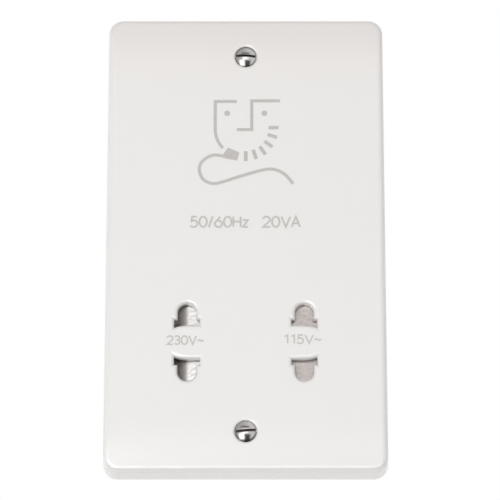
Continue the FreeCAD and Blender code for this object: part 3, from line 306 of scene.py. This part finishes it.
def striped_sleeve():
    """Insulation with two colours along the lead."""
    made = sleeve("earth_sleeve", (0.1, 0.36, 0.06), (0.08, 0.32, 0.05))
    made.tint(made.bands(1.3, "X"), (0.75, 0.62, 0.05), 0.48, 0.52)
    return made


# Name, colour, second colour, roughness, grain and depth of relief in millimetres
MOULDINGS = (
    ("carrier_plastic", (0.7, 0.69, 0.65), (0.66, 0.65, 0.6), 0.45, 0.5, 0.004),
    ("rocker_plastic", (0.045, 0.043, 0.042), (0.07, 0.065, 0.06), 0.42, 0.5, 0.004),
    ("former_plastic", (0.7, 0.64, 0.5), (0.64, 0.57, 0.43), 0.48, 0.6, 0.005),
    ("cutout_plastic", (0.03, 0.03, 0.03), (0.06, 0.055, 0.05), 0.4, 0.4, 0.003),
    ("housing_plastic", (0.74, 0.735, 0.715), (0.7, 0.695, 0.675), 0.5, 0.45, 0.012),
)
# Name, colour, second colour, roughness, turn of the lines in degrees and depth of relief
METALS = (
    ("pin_steel", (0.55, 0.55, 0.57), (0.48, 0.48, 0.5), 0.22, (0, 0, 0), 0.001),
    ("spring_bronze", (0.68, 0.45, 0.26), (0.55, 0.33, 0.17), 0.3, (0, 0, 0), 0.001),
    ("zinc_steel", (0.64, 0.64, 0.6), (0.54, 0.55, 0.56), 0.28, (0, 0, 30), 0.002),
    ("strap_steel", (0.6, 0.6, 0.58), (0.52, 0.52, 0.52), 0.32, (90, 0, 0), 0.002),
)
SLEEVES = (
    ("brown_sleeve", (0.13, 0.055, 0.025), (0.11, 0.045, 0.02)),
    ("blue_sleeve", (0.03, 0.12, 0.5), (0.025, 0.1, 0.44)),
    ("black_sleeve", (0.02, 0.02, 0.02), (0.035, 0.035, 0.035)),
    ("red_sleeve", (0.5, 0.03, 0.02), (0.43, 0.025, 0.02)),
    ("yellow_sleeve", (0.72, 0.5, 0.03), (0.64, 0.43, 0.03)),
)
FINISHES = {
    "white_urea": white_urea(),
    "bright_plate": bright_plate(),
    "contact_metal": contact_metal(),
    "core_steel": laminations(),
    "winding_wire": wire_turns(),
    "terminal_brass": turned_brass(),
    "earth_sleeve": striped_sleeve(),
}
for make, rows in ((moulding, MOULDINGS), (sheet_metal, METALS), (sleeve, SLEEVES)):
    for row in rows:
        FINISHES[row[0]] = make(*row)

for entry in frame["record"]["subparts"]:
    finish = FINISHES[entry["material_slot"]].material
    target = nodes[entry["node"]]
    if not target.material_slots:
        target.data.materials.append(finish)
    for place in target.material_slots:
        place.material = finish

# Painted shade: a dark finish for the faces inside the screw slots, where the slots lie in shade.
slot_painted_shade = Finish("slot_painted_shade", (0.2, 0.17, 0.16), 0.4, 0.7)
slot_painted_shade.tint(slot_painted_shade.noise(0.4, 3), (0.12, 0.1, 0.095))

ink = Finish("grey_print", (0.535, 0.507, 0.49), 0.42)
ink.tint(ink.noise(0.28, 3), (0.6, 0.575, 0.56), 0.45, 0.65)
ink.relief(ink.noise(0.2, 2), 0.003)

dark_ink = Finish("dark_print", (0.06, 0.06, 0.06), 0.5)
dark_ink.tint(dark_ink.noise(0.3, 3), (0.1, 0.1, 0.1), 0.45, 0.65)


# The fixing screws, turned with their threads

HALF_SPACING = 60.3
HEAD_EDGE = -8.75
HEAD = 3.45
DOME = 1.05
DOME_SHARE = 0.985
DOME_STEPS = 22
NECK = 1.55
THREAD = 1.75
THREAD_DEPTH = 0.34
PITCH_OF_THREAD = 0.6
THREAD_START = -0.8
THREAD_END = 15.45
TIP = 16.25
SLOT_WIDTH = 0.8
SLOT_DEPTH = 1.5
BLADE_WIDTH = 10
BLADE_DEPTH = 4
SIDES = 96
THREAD_STEP = 0.1
SHARP_EDGE = 32


def head_profile():
    """Rings (depth, radius) of a raised countersunk head and its neck."""
    ball = (HEAD**2 + DOME**2) / (2 * DOME)
    reach = math.asin(HEAD / ball)
    apex = HEAD_EDGE - DOME
    rings = []
    for step in range(1, DOME_STEPS + 1):
        turn = reach * DOME_SHARE * step / DOME_STEPS
        rings.append((apex + ball * (1 - math.cos(turn)), ball * math.sin(turn)))
    rings += [(HEAD_EDGE, HEAD - 0.02), (HEAD_EDGE + 0.07, HEAD), (HEAD_EDGE + 0.16, HEAD - 0.12)]
    rings += [(HEAD_EDGE + HEAD - NECK, NECK), (THREAD_START - 0.05, NECK)]
    return rings


def thread_radius(depth, turn):
    """The radius of the cut thread at a depth and at a share of a full turn."""
    phase = (depth / PITCH_OF_THREAD - turn) % 1
    cut = THREAD_DEPTH * min(1, max(0, (depth - THREAD_START) / PITCH_OF_THREAD))
    return THREAD - cut * abs(2 * phase - 1)


def screw(shape, height):
    """One whole screw about the line along Y at a height."""
    rings = [(depth, lambda turn, radius=radius: radius) for depth, radius in head_profile()]
    count = round((THREAD_END - THREAD_START) / THREAD_STEP)
    for step in range(count + 1):
        depth = THREAD_START + (THREAD_END - THREAD_START) * step / count
        rings.append((depth, lambda turn, depth=depth: thread_radius(depth, turn)))
    rings.append((TIP, lambda turn: THREAD - TIP + THREAD_END))
    loops = []
    for depth, radius in rings:
        points = []
        for side in range(SIDES):
            turn = side / SIDES
            reach = radius(turn)
            angle = math.tau * turn
            points.append((reach * math.cos(angle), depth, height + reach * math.sin(angle)))
        loops.append([shape.verts.new(Vector(point) * MM) for point in points])
    for near, far in zip(loops, loops[1:]):
        for side in range(SIDES):
            shape.faces.new((near[side], near[side - 1], far[side - 1], far[side]))
    apex = shape.verts.new(Vector((0, HEAD_EDGE - DOME, height)) * MM)
    for side in range(SIDES):
        shape.faces.new((apex, loops[0][side - 1], loops[0][side]))
    shape.faces.new(reversed(loops[-1]))


def linked(name, shape, *finishes):
    """A new object from a bmesh with its materials."""
    data = bpy.data.meshes.new(name)
    shape.to_mesh(data)
    shape.free()
    for finish in finishes:
        data.materials.append(finish.material)
    piece = bpy.data.objects.new(name, data)
    bpy.context.scene.collection.objects.link(piece)
    return piece


def fixing_pair():
    """Both fixing screws, slotted across their heads at the angles they were left at."""
    shape = bmesh.new()
    cutter_shape = bmesh.new()
    for way, tilt in ((1, -2), (-1, 5)):
        screw(shape, way * HALF_SPACING)
        middle = Vector((0, HEAD_EDGE - DOME + SLOT_DEPTH - BLADE_DEPTH / 2, way * HALF_SPACING)) * MM
        size = Matrix.Diagonal((BLADE_WIDTH * MM, BLADE_DEPTH * MM, SLOT_WIDTH * MM, 1))
        turned = Matrix.Translation(middle) @ Matrix.Rotation(math.radians(-tilt), 4, "Y") @ size
        bmesh.ops.create_cube(cutter_shape, size=1, matrix=turned)
    piece = linked("fixing_screw_pair", shape, FINISHES["bright_plate"], slot_painted_shade)
    cutter = linked("slot_cutter", cutter_shape, FINISHES["bright_plate"], slot_painted_shade)
    # The slot faces take the painted-shade finish.
    for face in cutter.data.polygons:
        face.material_index = 1
    cut = piece.modifiers.new("slots", "BOOLEAN")
    cut.object = cutter
    cut.solver = "EXACT"
    bpy.context.view_layer.update()
    data = bpy.data.meshes.new_from_object(piece.evaluated_get(bpy.context.evaluated_depsgraph_get()))
    piece.modifiers.clear()
    piece.data = data
    bpy.data.objects.remove(cutter)
    data.shade_smooth()
    data.set_sharp_from_angle(angle=math.radians(SHARP_EDGE))
    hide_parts("fixing_screws")
    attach(piece, "socket")
    return piece


screws = fixing_pair()


# Printed marks

PRINT = 0.02 * MM
LAYER = 0.001 * MM
MITRE_LIMIT = 0.4
SYMBOL_LINE = 1.0
DASH_LINE = 1.15
DASHES = (
    ((7.05, 36.65), (10.15, 36.65)),
    ((6.75, 34.4), (9.7, 33.4)),
    ((5.75, 32.2), (8.25, 30.3)),
    ((4.3, 30.45), (6.1, 27.8)),
    ((2.25, 29.35), (3.3, 26.3)),
    ((0.0, 28.9), (0.0, 25.65)),
)


class Print:
    """Flat patches of print on a plane that faces the front or the rear, in millimetres."""

    def __init__(self, name, depth, facing=-1):
        self.name = name
        self.depth = depth
        self.facing = facing
        self.lift = PRINT
        self.shape = bmesh.new()

    def patch(self, outline):
        """One filled patch; outline holds (x, z)."""
        around = [*outline[1:], outline[0]]
        area = sum(x * after[1] - after[0] * z for (x, z), after in zip(outline, around))
        if area * self.facing > 0:
            outline = outline[::-1]
        front = []
        back = []
        for x, z in outline:
            front.append(self.shape.verts.new((x * MM, self.depth + self.facing * self.lift, z * MM)))
            back.append(self.shape.verts.new((x * MM, self.depth - self.facing * PRINT, z * MM)))
        self.shape.faces.new(front)
        for index, vertex in enumerate(front):
            self.shape.faces.new((vertex, front[index - 1], back[index - 1], back[index]))

    def stroke(self, points, width=SYMBOL_LINE):
        """A line of print through points, with square ends and mitred corners, over the ones before."""
        self.lift += LAYER
        path = [Vector(point) for point in points]
        edges = []
        last = len(path) - 1
        for index, point in enumerate(path):
            ahead = (path[min(index, last - 1) + 1] - path[min(index, last - 1)]).normalized()
            behind = (path[max(index, 1)] - path[max(index, 1) - 1]).normalized()
            along = (ahead + behind).normalized()
            across = Vector((-along.y, along.x))
            reach = width / 2 / max(MITRE_LIMIT, along.dot(ahead))
            edges.append((point + across * reach, point - across * reach))
        for (left, right), (next_left, next_right) in zip(edges, edges[1:]):
            self.patch([left, next_left, next_right, right])

    def done(self, finish):
        """Turns the patches into a piece on the fixed body."""
        piece = linked(self.name, self.shape, finish)
        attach(piece, "socket")


def arc(centre, radius, start, stop, steps=16, squash=1.0):
    """Points on a circle, or an ellipse squashed in width, between two angles in degrees."""
    turns = [math.radians(start + (stop - start) * step / steps) for step in range(steps + 1)]
    return [
        (centre[0] + radius * squash * math.cos(turn), centre[1] + radius * math.sin(turn))
        for turn in turns
    ]


def smooth(points, steps=8):
    """Points on a smooth curve through the given ones."""
    path = [Vector(point) for point in points]
    path = [2 * path[0] - path[1], *path, 2 * path[-1] - path[-2]]
    found = []
    for a, b, c, d in zip(path, path[1:], path[2:], path[3:]):
        slope = c - a
        curve = 2 * a - 5 * b + 4 * c - d
        twist = 3 * b - a - 3 * c + d
        for step in range(steps):
            t = step / steps
            found.append(0.5 * (2 * b + slope * t + curve * t**2 + twist * t**3))
    return [*found, path[-2]]


JAW = (0, 36.2)
JAW_RADIUS = 9.45


def shaver_symbol():
    """The common outline symbol for a shaver outlet: half a beard, a shaver and its cord."""
    mark = Print("outlet_symbol", FACE)
    mark.stroke([(-2.8, 45.3), (-9.45, 45.3), *arc(JAW, JAW_RADIUS, 180, 222)])
    mark.stroke([(10.6, 45.5), (1.85, 45.5), (1.85, 36.0), (-2.8, 36.0)])
    for x in (-5.75, 5.75):
        mark.patch(arc((x, 41.4), 0.92, 0, 345, 23))
    for dash in DASHES:
        mark.stroke(dash, DASH_LINE)
    mark.patch([(-5.45, 30.1), (-6.95, 28.0), (-6.9, 26.6), (-2.65, 25.8), (-1.95, 28.5)])
    cord = [
        (-6.9, 27.3), (-9.6, 27.65), (-12.1, 26.7), (-13.9, 24.8), (-14.3, 22.5), (-13.4, 20.1),
        (-11.8, 18.8), (-9.5, 18.3), (-6.5, 19.05), (-3.2, 20.2), (0.1, 21.25), (2.7, 22.05),
        (5.3, 22.75), (7.8, 23.05), (10.3, 22.4), (12.4, 20.95), (13.7, 19.4), (14.6, 18.2),
    ]
    mark.stroke(smooth(cord, 6))
    mark.done(ink)


# Each figure has its advance and its lines, in parts of its height
GLYPHS = {
    "0": (0.8, [arc((0.32, 0.5), 0.5, 0, 360, 32, 0.64)]),
    "1": (0.62, [[(0.06, 0.8), (0.34, 1.0), (0.34, 0.0)]]),
    "2": (0.78, [[*arc((0.3, 0.7), 0.3, 165, -38, 18), (0.0, 0.0), (0.62, 0.0)]]),
    "3": (0.74, [arc((0.27, 0.76), 0.25, 150, -95, 18), arc((0.27, 0.27), 0.27, 100, -150, 18, 1.04)]),
    "5": (0.76, [[(0.54, 1.0), (0.14, 1.0), (0.08, 0.52), *arc((0.26, 0.32), 0.33, 118, -146, 20)]]),
    "6": (0.78, [[(0.46, 1.0), (0.05, 0.46)], arc((0.31, 0.3), 0.31, 0, 360, 28)]),
    "V": (0.86, [[(0.0, 1.0), (0.38, 0.0), (0.76, 1.0)]]),
    "A": (0.84, [[(0.0, 0.0), (0.37, 1.0), (0.74, 0.0)], [(0.13, 0.35), (0.61, 0.35)]]),
    "H": (0.82, [[(0.0, 0.0), (0.0, 1.0)], [(0.62, 0.0), (0.62, 1.0)], [(0.0, 0.52), (0.62, 0.52)]]),
    "z": (0.6, [[(0.0, 0.66), (0.42, 0.66), (0.0, 0.0), (0.44, 0.0)]]),
    "L": (0.6, [[(0.0, 1.0), (0.0, 0.0), (0.48, 0.0)]]),
    "N": (0.82, [[(0.0, 0.0), (0.0, 1.0), (0.6, 0.0), (0.6, 1.0)]]),
    "/": (0.52, [[(0.0, -0.04), (0.34, 1.04)]]),
    "~": (0.66, [smooth([(0.04, 0.4), (0.17, 0.52), (0.34, 0.46), (0.5, 0.38), (0.64, 0.52)], 5)]),
    " ": (0.55, []),
}


def lettering(mark, words, middle, foot, width, height, line):
    """Printed figures of a given overall width, height and line width, in millimetres."""
    start = 0.0
    paths = []
    for letter in words:
        advance, lines = GLYPHS[letter]
        paths += [[(x + start, z) for x, z in path] for path in lines]
        start += advance
    ends = [x for path in paths for x, z in path]
    low = min(ends)
    high = max(ends)
    wide = -mark.facing * (width - line) / (high - low)
    tall = height - line
    for path in paths:
        spots = [
            (middle + (x - (low + high) / 2) * wide, foot + line / 2 + z * tall)
            for x, z in path
        ]
        mark.stroke(spots, line)


def face_marks():
    """The symbol, the two voltages and the rating on the face."""
    shaver_symbol()
    for name, words, middle, foot in (
        ("mark_230v", "230V~", -18.3, -33.45),
        ("mark_115v", "115V~", 17.3, -33.15),
    ):
        mark = Print(name, FACE)
        lettering(mark, words, middle, foot, 11.4, 3.1, 0.45)
        mark.done(ink)
    mark = Print("mark_rating", FACE)
    lettering(mark, "50/60Hz  20VA", -0.15, 3.95, 34.2, 3.9, 0.56)
    mark.done(ink)


def rear_marks():
    """Plain marks on the rear beside the three terminals."""
    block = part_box("terminal_live")[1].y + 0.05 * MM
    mark = Print("terminal_marks", block, 1)
    for words, middle, width in (("L", -13, 0.95), ("N", 13, 1.15)):
        lettering(mark, words, middle, -21.4, width, 1.4, 0.24)
    mark.stroke([(0, -19.95), (0, -20.55)], 0.2)
    for half, height in ((0.85, -20.6), (0.55, -20.98), (0.25, -21.36)):
        mark.stroke([(-half, height), (half, height)], 0.2)
    mark.done(dark_ink)


face_marks()
rear_marks()


# Light, backdrop and camera

CAMERA_PITCH = math.radians(18.19)
CAMERA_DISTANCE = 0.955
FOCAL_PIXELS = 3127
PICTURE_PIXELS = 500
SENSOR = 36
CAMERA_AIM = Vector((0.00131, -0.009, -0.0032))
FLOOR_HALF = 1.6
FLOOR_LEVEL = -0.62
FADE_FROM = 0.75
FADE_TO = 1.5


def softbox(name, azimuth, elevation, distance, width, height, power):
    """A rectangular lamp that faces the socket from a direction given in degrees."""
    lamp = bpy.data.lights.new(name, "AREA")
    lamp.shape = "RECTANGLE"
    lamp.size = width
    lamp.size_y = height
    lamp.energy = power
    holder = bpy.data.objects.new(name, lamp)
    turn, rise = math.radians(azimuth), math.radians(elevation)
    toward = Vector((math.sin(turn) * math.cos(rise), -math.cos(turn) * math.cos(rise), math.sin(rise)))
    holder.location = toward * distance
    holder.rotation_euler = toward.to_track_quat("Z", "Y").to_euler()
    bpy.context.scene.collection.objects.link(holder)
    return holder


KEY_FROM = (-23, -18)
KEY_WIDTH = 0.95
KEY_HEIGHT = 1.15
# Distance, share of the main lamp's size, and power
FADING = (
    (1.5, 1.05, 1.14),
    (1.49, 0.85, 1.12),
    (1.48, 0.65, 0.87),
    (1.47, 0.45, 0.56),
)


def key_lights():
    """The main lamp, and for the bright screws one in its place that fades towards its edges."""
    key = softbox("key_light", *KEY_FROM, 1.5, KEY_WIDTH, KEY_HEIGHT, 12.9)
    others = bpy.data.collections.new("all_but_screws")
    others.objects.link(screws)
    others.collection_objects[0].light_linking.link_state = "EXCLUDE"
    key.light_linking.receiver_collection = others
    bright = bpy.data.collections.new("screws_only")
    bright.objects.link(screws)
    for distance, share, power in FADING:
        size = (KEY_WIDTH * share, KEY_HEIGHT * share)
        fading = softbox("screw_light", *KEY_FROM, distance, *size, power)
        fading.light_linking.receiver_collection = bright


def rim_lights():
    """Lamps that only gleam on the white plate's lower and left edges."""
    lit = bpy.data.collections.new("gleaming")
    lit.objects.link(nodes["front_plate"])
    for holder in (
        softbox("low_rim_light", 0, -28, 1.2, 1.2, 0.42, 5.9),
        softbox("left_rim_light", -68, -5, 1.2, 0.5, 1.4, 2.0),
    ):
        holder.visible_diffuse = False
        holder.light_linking.receiver_collection = lit


def studio():
    """The world: even light, a white backdrop, and a darker room in front for bright metal."""
    world = bpy.data.worlds.new("studio")
    bpy.context.scene.world = world
    world.use_nodes = True
    tree = world.node_tree
    tree.nodes.clear()
    add = adder(tree)

    def background(color, strength):
        made = tree.nodes.new("ShaderNodeBackground")
        made.inputs["Color"].default_value = (*color, 1)
        if isinstance(strength, bpy.types.NodeSocket):
            tree.links.new(strength, made.inputs["Strength"])
        else:
            made.inputs["Strength"].default_value = strength
        return made.outputs[0]

    def ramp(value, start, stop, low=0.0, high=1.0):
        """Goes smoothly from low to high as an angle goes from start to stop, in degrees."""
        made = tree.nodes.new("ShaderNodeMapRange")
        made.interpolation_type = "SMOOTHSTEP"
        tree.links.new(value, made.inputs["Value"])
        for name, number in (
            ("From Min", math.radians(start)),
            ("From Max", math.radians(stop)),
            ("To Min", low),
            ("To Max", high),
        ):
            made.inputs[name].default_value = number
        return made.outputs[0]

    def window(value, start, stop, soft):
        """One between two angles and zero outside them."""
        entry = ramp(value, start - soft, start + soft)
        return add("MULTIPLY", entry, ramp(value, stop - soft, stop + soft, 1, 0))

    def darken(value, mask, share):
        """Takes a share away where the mask is one."""
        return add("MULTIPLY", value, add("SUBTRACT", 1.0, add("MULTIPLY", mask, share)))

    place = tree.nodes.new("ShaderNodeTexCoord")
    split = tree.nodes.new("ShaderNodeSeparateXYZ")
    tree.links.new(place.outputs["Generated"], split.inputs[0])
    ahead = add("MULTIPLY", split.outputs["Y"], -1.0)
    azimuth = add("ARCTAN2", split.outputs["X"], ahead)
    elevation = add("ARCSINE", split.outputs["Z"])
    level = add("MULTIPLY", ahead, math.cos(CAMERA_PITCH))
    upright = add("MULTIPLY", split.outputs["Z"], math.sin(CAMERA_PITCH))
    away = add("ARCCOSINE", add("ADD", level, upright))

    room = ramp(azimuth, -50, 50, 0.52, 0.8)
    wall = add("MULTIPLY", window(elevation, -3, 27, 3), window(azimuth, -20, 16, 6))
    low_wall = add("MULTIPLY", window(elevation, -3, 12, 3), window(azimuth, -14, 10, 4))
    room = add("ADD", room, add("MULTIPLY", wall, 0.5))
    room = add("ADD", room, add("MULTIPLY", low_wall, 0.45))
    stand = add("MULTIPLY", window(azimuth, -8, 27, 2.5), window(elevation, -75, -5, 4))
    gap = add("MULTIPLY", window(elevation, 31, 42, 2), window(azimuth, -30, 24, 8))
    room = darken(room, stand, 0.9)
    room = darken(room, gap, 0.85)
    room = darken(room, ramp(away, 53, 60), 0.85)
    behind = ramp(add("ARCCOSINE", ahead), 86, 96)
    mirrored = add("ADD", darken(room, behind, 1.0), add("MULTIPLY", behind, 0.93))

    around = ramp(add("ARCCOSINE", ahead), 70, 110, 0.65, 0.96)
    around = add("MULTIPLY", around, ramp(elevation, -60, 10, 0.62, 1.0))
    around = add("MULTIPLY", around, ramp(elevation, 15, 70, 1.0, 0.8))
    rays = tree.nodes.new("ShaderNodeLightPath")
    seen = add("MAXIMUM", rays.outputs["Is Camera Ray"], rays.outputs["Is Transmission Ray"])
    result = background((1, 0.99, 0.98), around)
    for mask, other in (
        (rays.outputs["Is Glossy Ray"], background((1, 1, 1), mirrored)),
        (seen, background((1, 1, 1), 1.0)),
    ):
        mix = tree.nodes.new("ShaderNodeMixShader")
        tree.links.new(mask, mix.inputs[0])
        tree.links.new(result, mix.inputs[1])
        tree.links.new(other, mix.inputs[2])
        result = mix.outputs[0]
    out = tree.nodes.new("ShaderNodeOutputWorld")
    tree.links.new(result, out.inputs["Surface"])


def floor():
    """A pale floor well below the socket, clear from underneath and fading into the backdrop."""
    finish = Finish("pale_floor", (0.86, 0.855, 0.85), 0.6)
    finish.tint(finish.noise(60), (0.84, 0.835, 0.83))
    reach = finish.node("ShaderNodeVectorMath", Vector=finish.place)
    reach.operation = "LENGTH"
    rim = finish.between(reach.outputs["Value"], 0.0, 1.0, FADE_FROM, FADE_TO)
    seen = finish.node("ShaderNodeLightPath").outputs["Is Camera Ray"]
    under = finish.node("ShaderNodeNewGeometry").outputs["Backfacing"]
    clear = finish.node("ShaderNodeBsdfTransparent").outputs[0]
    gone = finish.add("MAXIMUM", under, finish.add("MULTIPLY", rim, seen))
    mix = finish.node("ShaderNodeMixShader", Fac=gone)
    finish.tree.links.new(finish.shader.outputs[0], mix.inputs[1])
    finish.tree.links.new(clear, mix.inputs[2])
    finish.tree.links.new(mix.outputs[0], finish.tree.nodes["Material Output"].inputs["Surface"])
    shape = bmesh.new()
    bmesh.ops.create_grid(shape, x_segments=8, y_segments=8, size=FLOOR_HALF)
    bmesh.ops.translate(shape, verts=shape.verts, vec=(0, 0, FLOOR_LEVEL))
    ground = linked("floor", shape, finish)
    ground.visible_glossy = False


def camera():
    """The photograph's view, from in front and a little below."""
    data = bpy.data.cameras.new("camera")
    data.sensor_width = SENSOR
    data.lens = FOCAL_PIXELS / PICTURE_PIXELS * SENSOR
    data.clip_start = 0.05
    data.clip_end = 20
    holder = bpy.data.objects.new("camera", data)
    forward = Vector((0, math.cos(CAMERA_PITCH), math.sin(CAMERA_PITCH)))
    holder.location = CAMERA_AIM - CAMERA_DISTANCE * forward
    holder.rotation_euler = Euler((math.pi / 2 + CAMERA_PITCH, 0, 0))
    bpy.context.scene.collection.objects.link(holder)
    bpy.context.scene.camera = holder


key_lights()
rim_lights()
studio()
floor()
camera()
bpy.context.scene.view_settings.view_transform = "Standard"
